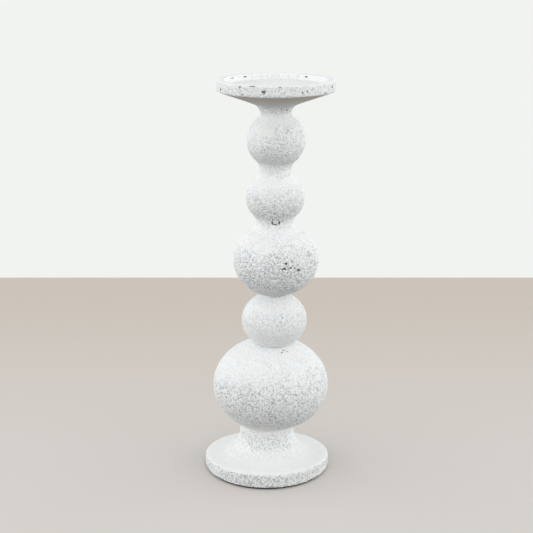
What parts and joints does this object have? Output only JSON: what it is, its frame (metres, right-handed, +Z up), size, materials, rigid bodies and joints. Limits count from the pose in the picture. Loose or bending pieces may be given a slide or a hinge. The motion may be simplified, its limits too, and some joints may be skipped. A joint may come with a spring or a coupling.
{
  "type": "wooden candlestick",
  "caption": "Tall turned wooden candlestick: a round foot, a column of stacked balls and a recessed round plate that holds one pillar candle.",
  "frame": {"origin": "on the table, on the axis of the screw and tenon that join the foot and the large ball", "axes": "+Z up from the foot to the candle plate; +X is the side that the upper pieces stand off towards, and -Y is the side on which the foot's disc is thickest"},
  "size_m": [0.1132, 0.111, 0.35],
  "materials": {
    "distressed_white_paint": "chalky white crackle paint over grey and dark wood, rubbed and chipped at the edges",
    "bare_wood": "unfinished hardwood",
    "zinc_steel": "zinc plated",
    "felt": "pressed wool felt"
  },
  "bodies": {
    "root": {"felt_pad": "felt", "foot": "distressed_white_paint", "foot_screw": "zinc_steel", "large_ball": "distressed_white_paint", "large_ball_dowel": "bare_wood", "lower_small_ball": "distressed_white_paint", "lower_small_ball_dowel": "bare_wood", "middle_ball": "distressed_white_paint", "middle_ball_dowel": "bare_wood", "upper_small_ball": "distressed_white_paint", "upper_small_ball_dowel": "bare_wood", "top_small_ball": "distressed_white_paint", "top_small_ball_dowel": "bare_wood", "candle_plate": "distressed_white_paint"}
  },
  "joints": []
}
